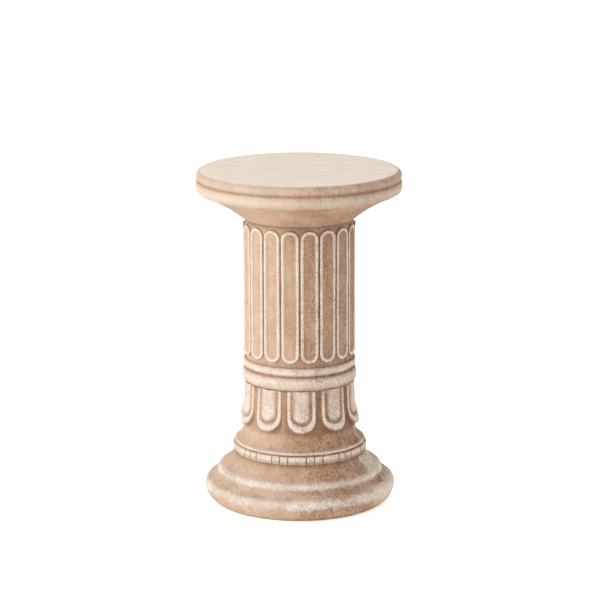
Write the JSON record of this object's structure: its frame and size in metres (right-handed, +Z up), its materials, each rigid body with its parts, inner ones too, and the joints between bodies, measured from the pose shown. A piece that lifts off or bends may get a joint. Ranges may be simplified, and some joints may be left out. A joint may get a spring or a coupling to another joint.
{
  "type": "pedestal column",
  "caption": "Cast stone pedestal shaped as a short fluted column: a broad round cap, rounded rings, a collar of hanging tongues, a band of beads and a stepped round base",
  "frame": {"origin": "centre of the flat underside, on the floor, on the column's axis", "axes": "+Z up along the column's axis; -Y faces the front; +X is to the right seen from the front"},
  "size_m": [0.304, 0.304, 0.5],
  "materials": {
    "cast_stone": "matte beige-brown cast stone, pitted, rubbed to cream white on the raised rims, rings, tongues and beads and darker brown in the grooves; the top is smooth pale beige"
  },
  "bodies": {
    "root": {"pedestal_column": "cast_stone"}
  },
  "joints": []
}
